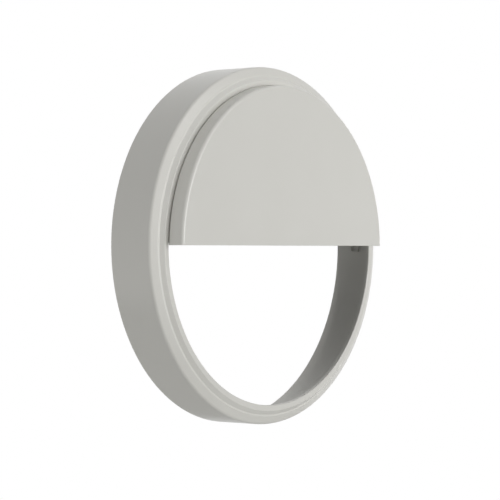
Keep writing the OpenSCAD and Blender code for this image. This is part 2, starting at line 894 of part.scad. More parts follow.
// Soft grommet where the two lamp leads pass down through the beam
module lead_grommet() {
    flange_h = 1.4;
    color("dimgray") translate([-lead_x, beam_y, lamp_z]) rotate([-90, 0, 0]) difference() {
        rotate_extrude($fn = 40) polygon([
            [0, -flange_h - 0.1], [lead_flange_r, -flange_h - 0.1], [lead_flange_r, -0.1],
            [lead_neck_r, -0.1], [lead_neck_r, beam_t + 0.1], [lead_flange_r, beam_t + 0.1],
            [lead_flange_r - 0.6, beam_t + flange_h + 0.1], [0, beam_t + flange_h + 0.1]
        ]);
        for (side = [-1, 1])
            translate([0, side * lead_pair, -flange_h - 1])
                cylinder(r = lead_hole, h = beam_t + 2 * flange_h + 2, $fn = 24);
    }
}

// A smooth route through chosen points, by the Catmull-Rom rule
function spline_point(a, b, c, d, t) =
    0.5 * ((2 * b) + (c - a) * t + (2 * a - 5 * b + 4 * c - d) * t ^ 2 + (3 * b - a - 3 * c + d) * t ^ 3);
function spline(p, n) =
    let (m = len(p) - 1)
    [
        for (i = [0 : m - 1], k = [0 : n - 1])
            spline_point(p[max(i - 1, 0)], p[i], p[i + 1], p[min(i + 2, m)], k / n),
        p[m]
    ];

// A direction square to the heading v
function side_of(v) = unit(cross(v, abs(v.z) < 0.9 * norm(v) ? [0, 0, 1] : [1, 0, 0]));

module tube(route, r, sides = 8) {
    n = len(route);
    rings = [
        for (i = [0 : n - 1])
            let (
                v = unit(route[min(i + 1, n - 1)] - route[max(i - 1, 0)]),
                s = side_of(v),
                u = cross(v, s)
            )
            for (k = [0 : sides - 1])
                route[i] + r * (cos(360 * k / sides) * s + sin(360 * k / sides) * u)
    ];
    skin = [
        for (i = [0 : n - 2], k = [0 : sides - 1])
            let (
                a = i * sides + k,
                b = i * sides + (k + 1) % sides
            )
            each [[a, b, b + sides], [a, b + sides, a + sides]]
    ];
    ends = [[for (k = [sides - 1 : -1 : 0]) k], [for (k = [0 : sides - 1]) (n - 1) * sides + k]];
    polyhedron(rings, concat(skin, ends));
}

cap_right = driver_right + cap_t;
cap_left = driver_left - cap_t;

// The straight end of a lead that leaves the driver's right end cap at height y
function driver_end(y) = [for (x = [-1, 3, 7]) [cap_right + x, y, lead_z]];

// The straight end of a lead in the terminal block
function block_end(i) = [for (y = [6, 2.5, -4]) [pole_x[i], block_top_y + y, block_lead_z]];

module lead_live() {
    color("saddlebrown") tube(spline(concat(
        driver_end(driver_mid_y + driver_pole),
        [[cap_right + 15, block_top_y + 4, lead_z]],
        block_end(0)
    ), 5), lead_r);
}

module lead_neutral() {
    y = driver_mid_y - driver_pole;
    color("steelblue") tube(spline(concat(
        driver_end(y),
        [
            [cap_right + 13, y + 11, lead_z + 4],
            [cap_right + 22, block_top_y + 11, lead_z + 2]
        ],
        block_end(1)
    ), 5), lead_r);
}

module lead_earth() {
    start = [earth_at.x + tag_reach + 0.2, earth_at.y, tag_z + barrel_z];
    color("yellowgreen") tube(spline(concat(
        [for (x = [0, 4, 8]) start + [x, 0, 0]],
        [
            [earth_at.x + 28, driver_top + 9, floor_z + 8],
            [earth_at.x + 50, driver_top + 4, floor_z + 6],
            [pole_x[1], block_top_y + 15, floor_z + 7],
            [pole_x[2] - 2, block_top_y + 12, block_lead_z]
        ],
        block_end(2)
    ), 5), lead_r);
}

// A lead from the driver's left end, down through the beam and into the lamp's socket
module output_lead(side) {
    y = driver_mid_y + side * driver_pole;
    grommet_z = lamp_z - side * lead_pair;
    socket_z = lamp_z - side * socket_pole;
    socket_y = board_bottom - socket_size.y / 2;
    tube(spline(concat(
        [for (x = [1, -3, -7]) [cap_left + x, y, lead_z]],
        [[cap_left - 26, driver_mid_y + side * driver_pole / 2 - 6, lead_z + 2 - side]],
        [for (y = [12, 3, 0]) [-lead_x, beam_top + y, grommet_z]],
        [
            [-lead_x, beam_y - 1.6, grommet_z],
            [0.8 - lead_x, socket_y + 0.6, grommet_z]
        ],
        [for (x = [-4, -1, 3]) [board_left + x, socket_y, socket_z]]
    ), 4), lead_r);
}

module lead_plus() {
    color("firebrick") output_lead(1);
}

module lead_minus() {
    color("dimgray") output_lead(-1);
}

// Stands a piece up against the wall
module on_wall() {
    rotate([90, 0, 0]) children();
}

on_wall() trim_ring();
on_wall() visor();
on_wall() base_pan();
on_wall() wall_gasket();
on_wall() cable_grommet();
on_wall() gear_cover();
on_wall() cover_gasket();
on_wall() cover_screws();
on_wall() spring_clips();
on_wall() clip_screws();
on_wall() lamp_board();
on_wall() lamp_chips();
on_wall() lamp_socket();
on_wall() board_screws();
on_wall() opal_trough();
on_wall() trough_gasket();
on_wall() trough_screws();
on_wall() driver_case();
on_wall() driver_end_caps();
on_wall() driver_screws();
on_wall() terminal_block();
on_wall() terminal_screws();
on_wall() lever_live();
on_wall() lever_neutral();
on_wall() lever_earth();
on_wall() earth_stud();
on_wall() earth_washer();
on_wall() earth_tag();
on_wall() earth_nut();
on_wall() lead_grommet();
on_wall() lead_live();
on_wall() lead_neutral();
on_wall() lead_earth();
on_wall() lead_plus();
on_wall() lead_minus();
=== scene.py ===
# %% [markdown]
# # A round wall light with an eyelid visor
# The light is a stepped ring with a half-moon visor over its upper half. The ring and visor are
# light grey satin plastic. Behind the visor sit a cast base, a driver and a lamp that shines down.
# This lesson dresses the finished solids of the light: a camera and a white studio come first,
# then one finish after another, and then the few pieces that are better modelled again by hand.

# %% Load the solids
import json
import math

import bmesh
import bpy
from mathutils import Matrix, Vector

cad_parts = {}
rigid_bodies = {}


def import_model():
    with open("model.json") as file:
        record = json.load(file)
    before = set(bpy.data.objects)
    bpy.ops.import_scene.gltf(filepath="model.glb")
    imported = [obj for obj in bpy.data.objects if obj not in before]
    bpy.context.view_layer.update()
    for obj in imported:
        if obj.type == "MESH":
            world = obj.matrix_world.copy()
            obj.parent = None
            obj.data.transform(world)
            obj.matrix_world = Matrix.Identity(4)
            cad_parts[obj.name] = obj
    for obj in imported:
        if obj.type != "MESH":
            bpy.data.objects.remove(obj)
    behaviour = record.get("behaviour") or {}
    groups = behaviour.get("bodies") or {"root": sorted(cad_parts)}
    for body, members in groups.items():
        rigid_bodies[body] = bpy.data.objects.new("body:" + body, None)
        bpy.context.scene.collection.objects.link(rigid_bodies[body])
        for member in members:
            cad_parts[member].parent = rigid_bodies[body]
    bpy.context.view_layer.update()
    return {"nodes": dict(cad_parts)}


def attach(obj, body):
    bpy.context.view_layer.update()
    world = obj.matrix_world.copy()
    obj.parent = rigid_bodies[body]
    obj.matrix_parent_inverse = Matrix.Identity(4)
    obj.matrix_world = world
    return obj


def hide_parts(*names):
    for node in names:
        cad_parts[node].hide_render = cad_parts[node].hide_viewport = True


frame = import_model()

# %% [markdown]
# ## Camera
# The light is seen from 50 degrees to its left and from its own height. The camera could be aimed
# by eye, but the ring's circles become ellipses in the picture, and the camera's lens, angle and
# distance are fitted to those. The picture's centre lies a little right of and below the ring's
# centre, so the sensor is shifted by that share of the picture, and the camera stays level.

# %% Camera
PICTURE = 500
PIXELS_RIGHT = 15.2
PIXELS_UP = -4.3
LENS = 113.8
SENSOR_WIDTH = 36
VIEW_AZIMUTH = math.radians(-49.9)
VIEW_RISE = math.radians(-0.16)
VIEW_DISTANCE = 1.35

camera_data = bpy.data.cameras.new("camera")
camera_data.lens = LENS
camera_data.sensor_width = SENSOR_WIDTH
camera_data.shift_x = PIXELS_RIGHT / PICTURE
camera_data.shift_y = PIXELS_UP / PICTURE
camera = bpy.data.objects.new("camera", camera_data)
bpy.context.scene.collection.objects.link(camera)
bpy.context.scene.camera = camera

towards_camera = Vector((
    math.sin(VIEW_AZIMUTH) * math.cos(VIEW_RISE),
    -math.cos(VIEW_AZIMUTH) * math.cos(VIEW_RISE),
    math.sin(VIEW_RISE),
))
camera.location = VIEW_DISTANCE * towards_camera
camera.rotation_euler = towards_camera.to_track_quat("Z", "Y").to_euler()
print("camera at", tuple(round(x, 3) for x in camera.location))

# %% [markdown]
# ## Shader maths
# A finish is easier to read as a formula than as a list of nodes. Nodes could be made and linked
# one by one, at three lines for each sum. Socket wraps one output of a node instead, and overloads
# Python's operators, so that `0.4 + 0.1 * grain` adds its Math nodes by itself.

# %% Socket
class Socket:
    """One output of a node, which Python's operators turn into Math nodes."""

    def __init__(self, finish, link):
        self.finish = finish
        self.link = link

    def maths(self, operation, *values):
        inputs = dict(enumerate(values))
        return self.finish.node("ShaderNodeMath", {"operation": operation}, inputs)

    def __add__(self, other):
        return self.maths("ADD", self, other)

    def __sub__(self, other):
        return self.maths("SUBTRACT", self, other)

    def __rsub__(self, other):
        return self.maths("SUBTRACT", other, self)

    def __mul__(self, other):
        return self.maths("MULTIPLY", self, other)

    def __gt__(self, other):
        return self.maths("GREATER_THAN", self, other)

    __radd__ = __add__
    __rmul__ = __mul__


print("Socket:", Socket.__doc__)

# %% [markdown]
# ## A finish
# Finish holds a material with one Principled shader. Its one method `node` makes every kind of
# node, and the short methods under it name the few patterns that all finishes of the light share.
# A function for each pattern would do too, but would need the material handed to it every time. A
# Mix node has sockets for several kinds of value, so those that a colour uses are named here.

# %% Finish
MIX_FACTOR, MIX_FIRST, MIX_SECOND, MIX_RESULT = 0, 6, 7, 2


class Finish:
    """A material with one Principled shader, and the nodes that feed it."""

    def __init__(self, name, **constants):
        self.material = bpy.data.materials.new(name)
        self.material.use_nodes = True
        self.tree = self.material.node_tree
        self.shader = self.tree.nodes["Principled BSDF"]
        self.surface(**constants)
        self.place = self.node("ShaderNodeTexCoord", output="Object")

    def node(self, kind, settings=None, inputs=None, output=0):
        made = self.tree.nodes.new(kind)
        for setting, value in (settings or {}).items():
            setattr(made, setting, value)
        for socket, value in (inputs or {}).items():
            self.feed(made.inputs[socket], value)
        return Socket(self, made.outputs[output])

    def feed(self, socket, value):
        if isinstance(value, Socket):
            self.tree.links.new(value.link, socket)
        else:
            socket.default_value = value

    def surface(self, **values):
        """Feeds the shader: Base_Color=tone sets or links its socket Base Color."""
        for socket, value in values.items():
            self.feed(self.shader.inputs[socket.replace("_", " ")], value)
        return self.material

    def stretched(self, scale, place=None):
        return self.node("ShaderNodeMapping", {}, {"Vector": place or self.place, "Scale": scale})

    def noise(self, scale, detail, place=None):
        return self.node("ShaderNodeTexNoise", {}, {
            "Vector": place or self.place, "Scale": scale, "Detail": detail,
        })

    def cells(self, scale):
        return self.node("ShaderNodeTexVoronoi", {}, {"Vector": self.place, "Scale": scale})

    def mix(self, mask, first, second):
        return self.node("ShaderNodeMix", {"data_type": "RGBA"},
                         {MIX_FACTOR: mask, MIX_FIRST: first, MIX_SECOND: second}, MIX_RESULT)

    def relief(self, height, depth):
        """A Bump node: height runs from 0 to 1 and depth is its size in metres."""
        return self.node("ShaderNodeBump", {}, {"Height": height, "Distance": depth})


print("Finish:", Finish.__doc__)

# %% [markdown]
# ## Colours
# A colour is easiest to choose as a screen shows it, from 0 to 255, but shaders work in linear
# light, where values picked by hand are hard to judge. So a function turns one into the other, by
# the curve that screens use.

# %% Colours
def colour(red, green, blue):
    """A colour as a screen shows it, from 0 to 255, turned into the linear one of shaders."""
    def linear(value):
        share = value / 255
        return share / 12.92 if share <= 0.04045 else ((share + 0.055) / 1.055) ** 2.4
    return (linear(red), linear(green), linear(blue), 1.0)


print("grey 128 is", round(colour(128, 128, 128)[0], 3), "in linear light")

# %% [markdown]
# ## White world
# The background is pure white. A world of that strength would do, but it would light the pale
# plastic until it clips. So the world shows white to the camera, to reflections and through clear
# pieces, while the light that it sends on to the surfaces is a quiet grey.

# %% World
AMBIENT = 0.076
WHITE = 1.0

world = bpy.data.worlds.new("studio")
world.use_nodes = True
bpy.context.scene.world = world
bpy.context.scene.view_settings.view_transform = "Standard"

sky = world.node_tree.nodes
join = world.node_tree.links.new


def either(first, second):
    """The larger of two outputs, which for rays means one or the other."""
    larger = sky.new("ShaderNodeMath")
    larger.operation = "MAXIMUM"
    join(first, larger.inputs[0])
    join(second, larger.inputs[1])
    return larger.outputs[0]


path = sky.new("ShaderNodeLightPath").outputs
seen = either(path["Is Camera Ray"], either(path["Is Glossy Ray"], path["Is Transmission Ray"]))
shade = sky.new("ShaderNodeMix")
shade.inputs["A"].default_value = AMBIENT
shade.inputs["B"].default_value = WHITE
join(seen, shade.inputs["Factor"])
join(shade.outputs["Result"], sky["Background"].inputs["Strength"])
sky["Background"].inputs["Color"].default_value = (1, 1, 1, 1)
print("the world lights surfaces with", AMBIENT, "and shows", WHITE)

# %% [markdown]
# ## Floor
# The light hangs on a wall, so the floor lies well below it. A plain white floor would turn grey
# away from the lamps. Half of what the camera sees of it is therefore white whatever the lamps do,
# and the other half is lit, so that it still takes a soft shadow.

# %% Floor
FLOOR_DEPTH = -1.5
FLOOR_RADIUS = 3.0
FLOOR_SIDES = 96
FLOOR_GLOW = 1.12
GLOWING_SHARE = 0.5

floor_mesh = bpy.data.meshes.new("floor")
floor_bmesh = bmesh.new()
bmesh.ops.create_circle(floor_bmesh, cap_ends=True, radius=FLOOR_RADIUS, segments=FLOOR_SIDES,
                        matrix=Matrix.Translation((0, 0, FLOOR_DEPTH)))
floor_bmesh.to_mesh(floor_mesh)
floor_bmesh.free()
floor = bpy.data.objects.new("floor", floor_mesh)
bpy.context.scene.collection.objects.link(floor)

floor_finish = Finish("pale floor", Base_Color=colour(236, 236, 234), Roughness=0.9)
white_light = floor_finish.node("ShaderNodeEmission", {}, {"Strength": FLOOR_GLOW})
camera_ray = floor_finish.node("ShaderNodeLightPath", output="Is Camera Ray")
half_white = floor_finish.node("ShaderNodeMixShader", {}, {
    0: GLOWING_SHARE * camera_ray,
    1: Socket(floor_finish, floor_finish.shader.outputs[0]),
    2: white_light,
})
floor_finish.feed(floor_finish.tree.nodes["Material Output"].inputs["Surface"], half_white)
floor_mesh.materials.append(floor_finish.material)
print("floor at", FLOOR_DEPTH, "m, radius", FLOOR_RADIUS, "m")

# %% [markdown]
# ## Softboxes
# The face of the light is bright and its left side is much darker. Bare lamps would leave hard
# spots on the satin plastic, so broad panels are used. Two softboxes stand in front, one nearly
# level and one high, and their reflections give the narrow bright lines on the rounded edges. Two
# strips stand on the left in the plane of the wall, one high and one low. They graze the face, so
# they only lift the ring's side wall. A panel behind lights the rear and, through the open half,
# the lower part of the inner wall. Strips and panel are kept out of reflections and leave no
# streaks.

# %% Softboxes
def softbox(name, place, width, height, watts, mirrored=True):
    """A rectangular lamp that faces the light's middle. Only a mirrored one shows in gloss."""
    lamp = bpy.data.lights.new(name, "AREA")
    lamp.shape = "RECTANGLE"
    lamp.size = width
    lamp.size_y = height
    lamp.energy = watts
    box = bpy.data.objects.new(name, lamp)
    box.location = place
    box.rotation_euler = Vector(place).to_track_quat("Z", "Y").to_euler()
    box.visible_camera = False
    box.visible_glossy = mirrored
    bpy.context.scene.collection.objects.link(box)
    print(f"{name}: {width} x {height} m, {watts} W")


softbox("key softbox", (0.54, -2.02, 0.15), 0.9, 1.1, 29.3)
softbox("high front softbox", (0.28, -1.58, 1.35), 1.0, 1.0, 6.5)
softbox("high left strip", (-1.5, -0.02, 1.1), 0.3, 1.0, 11.7, mirrored=False)
softbox("low left strip", (-0.7, -0.02, -0.9), 0.3, 0.8, 2.8, mirrored=False)
softbox("rear panel", (0.9, 1.8, 0.9), 1.0, 1.0, 22.5, mirrored=False)

# %% [markdown]
# ## Trim plastic
# The ring and the visor are moulded in tools with a spark-eroded skin, which prints a fine even
# grain on the plastic. Modelled grain would be far smaller than a pixel. It shows as a satin sheen
# and not as dots, so a shallow bump from noise gives it, and the colour and gloss drift by a few
# hundredths over the piece, as on any large moulding.

# %% Trim plastic
MICRON = 0.000001


def trim_plastic():
    finish = Finish("trim plastic", IOR=1.5)
    grain = finish.noise(2600, 3)
    drift = finish.noise(14, 2)
    smear = finish.noise(60, 4)
    tone = finish.mix(0.6 * drift + 0.2 * grain, colour(205, 204, 198), colour(212, 211, 206))
    return finish.surface(
        Base_Color=tone,
        Roughness=0.25 + 0.06 * smear + 0.04 * grain,
        Normal=finish.relief(grain, 12 * MICRON),
    )


trim = trim_plastic()
print(trim.name, "has", len(trim.node_tree.nodes), "nodes")

# %% [markdown]
# ## Powder coat
# The base and the gear cover are die castings under a powder coat, whose skin has the low bumps of
# orange peel. One noise could draw it all, but the peel is broad and the specks of powder in it
# are fine, so each has a texture of its own and both feed the same bump.

# %% Powder coat
def powder_coat(name, light, dark):
    finish = Finish(name, IOR=1.5)
    peel = finish.noise(700, 2)
    drift = finish.noise(20, 3)
    specks = finish.cells(1500)
    return finish.surface(
        Base_Color=finish.mix(0.7 * drift + 0.15 * specks, dark, light),
        Roughness=0.4 + 0.14 * drift,
        Normal=finish.relief(peel + 0.2 * specks, 40 * MICRON),
    )


powder = powder_coat("cast alloy", colour(226, 226, 222), colour(212, 212, 207))
print(powder.name, "has", len(powder.node_tree.nodes), "nodes")

# %% [markdown]
# ## Metals
# Screws are zinc plated, which tints the steel faintly in soft patches. The clips are rolled strip
# and the driver's case is an extrusion, and both carry fine lines along their length. A wave
# texture would draw the lines too evenly, so they are a noise that is stretched along the piece.

# %% Metals
def lined_metal(name, light, dark, roughness, stretch):
    """Metal with fine lines along the direction in which stretch is smallest."""
    finish = Finish(name)
    lines = finish.noise(1, 4, finish.stretched(stretch))
    drift = finish.noise(35, 3)
    return finish.surface(
        Base_Color=finish.mix(0.5 * lines + 0.5 * drift, dark, light),
        Metallic=0.96 + 0.04 * drift,
        Roughness=roughness + 0.16 * lines,
        Normal=finish.relief(lines, 12 * MICRON),
    )


def plated_metal(name, light, dark, roughness):
    finish = Finish(name)
    patches = finish.noise(180, 4)
    pits = finish.noise(3500, 2)
    return finish.surface(
        Base_Color=finish.mix(patches, dark, light),
        Metallic=1.0 - 0.06 * patches,
        Roughness=roughness + 0.14 * patches,
        Normal=finish.relief(pits, 6 * MICRON),
    )


screw_steel = plated_metal("screw steel", colour(206, 208, 212), colour(176, 180, 182), 0.24)
spring_steel = lined_metal("spring steel", colour(196, 198, 202), colour(150, 153, 158), 0.22,
                           (300, 300, 4000))
driver_alloy = lined_metal("driver alloy", colour(205, 206, 208), colour(180, 182, 185), 0.34,
                           (60, 4500, 4500))
brass = plated_metal("brass", colour(214, 184, 112), colour(178, 142, 74), 0.26)
tinned = plated_metal("tinned copper", colour(205, 202, 196), colour(172, 168, 160), 0.3)
print("metals:", screw_steel.name, spring_steel.name, driver_alloy.name, brass.name, tinned.name)

# %% [markdown]
# ## Foam, rubber and silicone
# The gasket on the wall is closed-cell foam, cut so that half-open cells show on its skin. As a
# mesh they would take millions of faces, so cells in the colour and the bump stand for them.
# Rubber has a faint grey bloom where it has been handled, and silicone is smoother and takes dust
# in soft clouds. To a shader the two differ only in colour and gloss, so one function makes both.

# %% Foam, rubber and silicone
def foam():
    finish = Finish("foam")
    bubbles = finish.cells(1500)
    clouds = finish.noise(60, 3)
    return finish.surface(
        Base_Color=finish.mix(bubbles, colour(58, 58, 60), colour(86, 86, 88)),
        Roughness=0.86 + 0.1 * clouds,
        Normal=finish.relief(bubbles, 160 * MICRON),
    )


def soft_skin(name, light, dark, roughness):
    """Rubber or silicone: a fine moulded skin under a faint bloom."""
    finish = Finish(name, IOR=1.45)
    bloom = finish.noise(90, 4)
    skin = finish.noise(2200, 3)
    return finish.surface(
        Base_Color=finish.mix(bloom, dark, light),
        Roughness=roughness + 0.2 * bloom,
        Normal=finish.relief(skin, 20 * MICRON),
    )


wall_foam = foam()
rubber = soft_skin("dark rubber", colour(62, 62, 63), colour(40, 40, 42), 0.55)
silicone = soft_skin("silicone", colour(196, 197, 196), colour(176, 177, 178), 0.36)
print("soft finishes:", wall_foam.name, rubber.name, silicone.name)

# %% [markdown]
# ## Opal trough and lamp board
# The opal trough scatters light inside its wall. A plain white surface would look like paint, so
# it takes subsurface scattering. The lamp board's white mask swells slightly over the copper
# tracks that run along it. They could be modelled, but a wave texture that is cut off at a
# threshold is enough.

# %% Opal trough and lamp board
def opal_acrylic():
    finish = Finish("opal", IOR=1.49, Subsurface_Weight=0.35, Subsurface_Scale=0.004)
    milk = finish.noise(30, 2)
    frost = finish.noise(1900, 3)
    return finish.surface(
        Base_Color=finish.mix(milk, colour(236, 236, 232), colour(246, 246, 244)),
        Roughness=0.28 + 0.12 * frost,
        Normal=finish.relief(frost, 8 * MICRON),
    )


def board_mask():
    finish = Finish("board white", IOR=1.5)
    tracks = finish.node("ShaderNodeTexWave", {"bands_direction": "Y", "wave_profile": "SIN"},
                         {"Vector": finish.place, "Scale": 120, "Distortion": 0.4})
    raised = tracks > 0.35
    glaze = finish.noise(400, 3)
    tone = finish.mix(0.5 * raised + 0.3 * glaze, colour(236, 237, 232), colour(222, 224, 218))
    return finish.surface(
        Base_Color=tone,
        Roughness=0.3 + 0.15 * glaze,
        Normal=finish.relief(raised + 0.1 * glaze, 30 * MICRON),
    )


opal = opal_acrylic()
board_white = board_mask()
print("lamp finishes:", opal.name, board_white.name)

# %% [markdown]
# ## Small plastic parts
# Housings, levers, the lamp socket and the frames of the lamp chips are moulded plastics of
# different colours and gloss. Each could have nodes of its own, but they all come out of alike
# tools with the same fine grain, so one function makes them, and it does for the yellow phosphor
# in the chips too.

# %% Small plastic parts
def moulded(name, light, dark, roughness):
    finish = Finish(name, IOR=1.5)
    drift = finish.noise(45, 3)
    grain = finish.noise(2500, 2)
    return finish.surface(
        Base_Color=finish.mix(drift, dark, light),
        Roughness=roughness + 0.1 * drift + 0.05 * grain,
        Normal=finish.relief(grain, 12 * MICRON),
    )


black_plastic = moulded("black plastic", colour(52, 52, 54), colour(38, 38, 40), 0.42)
grey_plastic = moulded("grey plastic", colour(170, 172, 172), colour(154, 156, 157), 0.38)
socket_ivory = moulded("socket ivory", colour(232, 226, 204), colour(220, 212, 188), 0.36)
live_brown = moulded("live brown", colour(122, 76, 48), colour(100, 60, 38), 0.34)
neutral_blue = moulded("neutral blue", colour(52, 112, 176), colour(40, 92, 150), 0.34)
earth_green = moulded("earth green", colour(122, 168, 62), colour(98, 142, 48), 0.34)
chip_white = moulded("chip white", colour(240, 240, 236), colour(228, 228, 222), 0.3)
phosphor = moulded("phosphor", colour(232, 200, 84), colour(216, 180, 62), 0.4)
print("plastics:", black_plastic.name, grey_plastic.name, socket_ivory.name, chip_white.name)

# %% [markdown]
# ## Wire insulation
# Insulation is extruded, so its fine lines and its gloss run along the lead. Object coordinates
# would stay straight where a lead bends. The curve's UV map follows it instead, and counts along
# the lead in U and round it in V. Two bands of V turn green into the yellow stripes of the earth
# lead.

# %% Wire insulation
STRIPES = 2
STRIPE_FROM = 0.65


def insulation(name, light, dark, stripe=None):
    finish = Finish(name, IOR=1.5)
    uv = finish.node("ShaderNodeTexCoord", output="UV")
    flow = finish.noise(1, 3, finish.stretched((6, 60, 1), uv))
    dust = finish.noise(160, 3)
    tone = finish.mix(0.6 * flow + 0.4 * dust, dark, light)
    if stripe:
        across = finish.node("ShaderNodeSeparateXYZ", {}, {"Vector": uv}, "Y")
        band = across.maths("FRACT", STRIPES * across) > STRIPE_FROM
        tone = finish.mix(band, tone, stripe)
    return finish.surface(
        Base_Color=tone,
        Roughness=0.36 + 0.16 * dust,
        Normal=finish.relief(flow, 10 * MICRON),
    )


wire_brown = insulation("wire brown", colour(118, 74, 48), colour(98, 60, 40))
wire_blue = insulation("wire blue", colour(48, 102, 170), colour(38, 84, 146))
wire_striped = insulation("wire striped", colour(84, 150, 62), colour(66, 128, 50),
                          colour(226, 204, 70))
wire_red = insulation("wire red", colour(186, 46, 40), colour(160, 36, 34))
wire_black = insulation("wire black", colour(46, 46, 48), colour(34, 34, 36))
print("insulation:", wire_brown.name, wire_striped.name, wire_red.name)

# %% [markdown]
# ## From a bmesh to a piece
# Every new piece goes through the same steps, so one function takes them. Its normals are made to
# point outwards, the mesh is shaded smooth with sharp edges kept above 35 degrees, and weighted
# normals keep the large flat faces flat next to their rounded edges. A subdivision surface would
# swell those faces, and these parts are moulded flat.

# %% From a bmesh to a piece
MM = 0.001
SHARP_FROM = math.radians(35)


def new_piece(name, shape, materials, node):
    """Makes the piece that stands for a CAD node, on the same body, with the given materials, and
    hides the node.
    """
    bmesh.ops.recalc_face_normals(shape, faces=shape.faces)
    mesh = bpy.data.meshes.new(name)
    shape.to_mesh(mesh)
    shape.free()
    for material in materials:
        mesh.materials.append(material)
    mesh.shade_smooth()
    mesh.set_sharp_from_angle(angle=SHARP_FROM)
    piece = bpy.data.objects.new(name, mesh)
    bpy.context.scene.collection.objects.link(piece)
    weighted = piece.modifiers.new("weighted normals", "WEIGHTED_NORMAL")
    weighted.keep_sharp = True
    body = frame["nodes"][node].parent.name.split(":")[1]
    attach(piece, body)
    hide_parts(node)
    print(f"{name}: {len(mesh.polygons)} faces")


# %% [markdown]
# ## Outlines
# The visor and its tabs are slices of one turned shape, so each starts as a flat outline that is
# spun later. The corners could be rounded after the spin, edge by edge. Rounding the outline is
# simpler, because the spin then carries each small arc round the whole piece.

# %% Outlines
CORNER_STEPS = 6


def outline(shape, corners, closed=False):
    """Draws an outline from (radius, height, corner radius) in mm, and rounds its corners.

    The light's axis points out of the wall, along -Y."""
    points = [Vector((radius * MM, -height * MM, 0)) for radius, height, _ in corners]
    path = [shape.verts.new(point) for point in points]
    for first, second in zip(path, path[1:] + path[:1] if closed else path[1:]):
        shape.edges.new((first, second))
    for i in range(1, len(path) - 1):
        if corners[i][2]:
            turn = (points[i - 1] - points[i]).angle(points[i + 1] - points[i])
            bmesh.ops.bevel(shape, geom=[path[i]], offset=corners[i][2] * MM / math.tan(turn / 2),
                            segments=CORNER_STEPS, profile=0.5, affect="VERTICES", material=-1)


print("a rounded corner has", CORNER_STEPS, "steps")

# %% [markdown]
# ## Visor
# The visor is a half-moon shell whose wall stands on a ledge just inside the ring's lip. Its solid
# has a knife-sharp lower edge, where the real moulding has a small radius that catches the light.
# So it is drawn again: one rounded outline is spun through half a turn, the cut across the middle
# is closed with a face, and the rim of that face is bevelled. A spin can leave its faces pointing
# either way, and a bevel would then step outside the shell, so they are turned outwards before it.

# %% Visor shell
VISOR_R = 132.75
VISOR_FRONT = 59.3
VISOR_FOOT = 45.2
SHELL = 2.2
WALL_IN = VISOR_R - SHELL
FRONT_ROUND = 3
INNER_ROUND = 0.8
FOOT_ROUND = 0.4
LOWER_EDGE_ROUND = 0.5
HALF_TURN_STEPS = 180
SPIN_WELD = 0.01
OUT_OF_WALL = Vector((0, -1, 0))

visor = bmesh.new()
outline(visor, [
    (0, VISOR_FRONT, 0),
    (VISOR_R, VISOR_FRONT, FRONT_ROUND),
    (VISOR_R, VISOR_FOOT, FOOT_ROUND),
    (WALL_IN, VISOR_FOOT, FOOT_ROUND),
    (WALL_IN, VISOR_FRONT - SHELL, INNER_ROUND),
    (0, VISOR_FRONT - SHELL, 0),
])
bmesh.ops.spin(visor, geom=visor.verts[:] + visor.edges[:], cent=(0, 0, 0), axis=OUT_OF_WALL,
               angle=math.pi, steps=HALF_TURN_STEPS)
bmesh.ops.remove_doubles(visor, verts=visor.verts, dist=SPIN_WELD * MM)
rim = [edge for edge in visor.edges if edge.is_boundary]
cut = bmesh.ops.edgeloop_fill(visor, edges=rim)["faces"]
print("the cut across the middle is", len(cut), "face with", len(cut[0].verts), "corners")
bmesh.ops.recalc_face_normals(visor, faces=visor.faces)
bmesh.ops.bevel(visor, geom=list(cut[0].edges), offset=LOWER_EDGE_ROUND * MM, segments=3,
                profile=0.5, affect="EDGES", material=-1, clamp_overlap=True)

# %% [markdown]
# ## One snap tab
# Five short tabs hang down from the visor's wall, and the hook on each one snaps in behind the
# ring's ledge. A box with a hook would stand off the curved wall, so a tab is an outline that is
# closed with a face and spun through five degrees. Its root reaches into the wall, to be welded
# there.

# %% One snap tab
TAB_ANGLES = (18, 54, 90, 126, 162)
TAB_SPAN = 5
TAB_STEPS = 6
TAB_ROOT = 48.7
TAB_SINK = 0.6
TAB_OUT = 130.35
TAB_IN = 128.75
TAB_END = 39.4
TAB_ROUND = 0.4
HOOK_REACH = 1.0
HOOK_TOP = 43.15
HOOK_EDGE = 0.6
HOOK_ROUND = 0.2
HOOK_TOP_ROUND = 0.15

tabs = bmesh.new()
outline(tabs, [
    (WALL_IN + SHELL / 2, TAB_ROOT, 0),
    (WALL_IN, TAB_ROOT, 0),
    (TAB_IN, TAB_ROOT - (WALL_IN - TAB_IN), TAB_ROUND),
    (TAB_IN, TAB_END, TAB_ROUND),
    (TAB_OUT, TAB_END, HOOK_ROUND),
    (TAB_OUT + HOOK_REACH, HOOK_TOP - HOOK_EDGE, HOOK_ROUND),
    (TAB_OUT + HOOK_REACH, HOOK_TOP, HOOK_TOP_ROUND),
    (TAB_OUT, HOOK_TOP, 0),
    (TAB_OUT, VISOR_FOOT + TAB_SINK, 0),
    (WALL_IN + SHELL / 2, VISOR_FOOT + TAB_SINK, 0),
], closed=True)
bmesh.ops.edgeloop_fill(tabs, edges=tabs.edges)
bmesh.ops.spin(tabs, geom=tabs.verts[:] + tabs.edges[:] + tabs.faces[:], cent=(0, 0, 0),
               axis=OUT_OF_WALL, angle=math.radians(TAB_SPAN), steps=TAB_STEPS)
print("one tab has", len(tabs.faces), "faces")

# %% [markdown]
# ## Five tabs on the visor
# The tab is turned to its place and copied four times round the visor's axis by a spin that makes
# duplicates. The tabs could stay loose in the wall, but they are one moulding with the visor, so a
# Boolean welds all five to the shell.

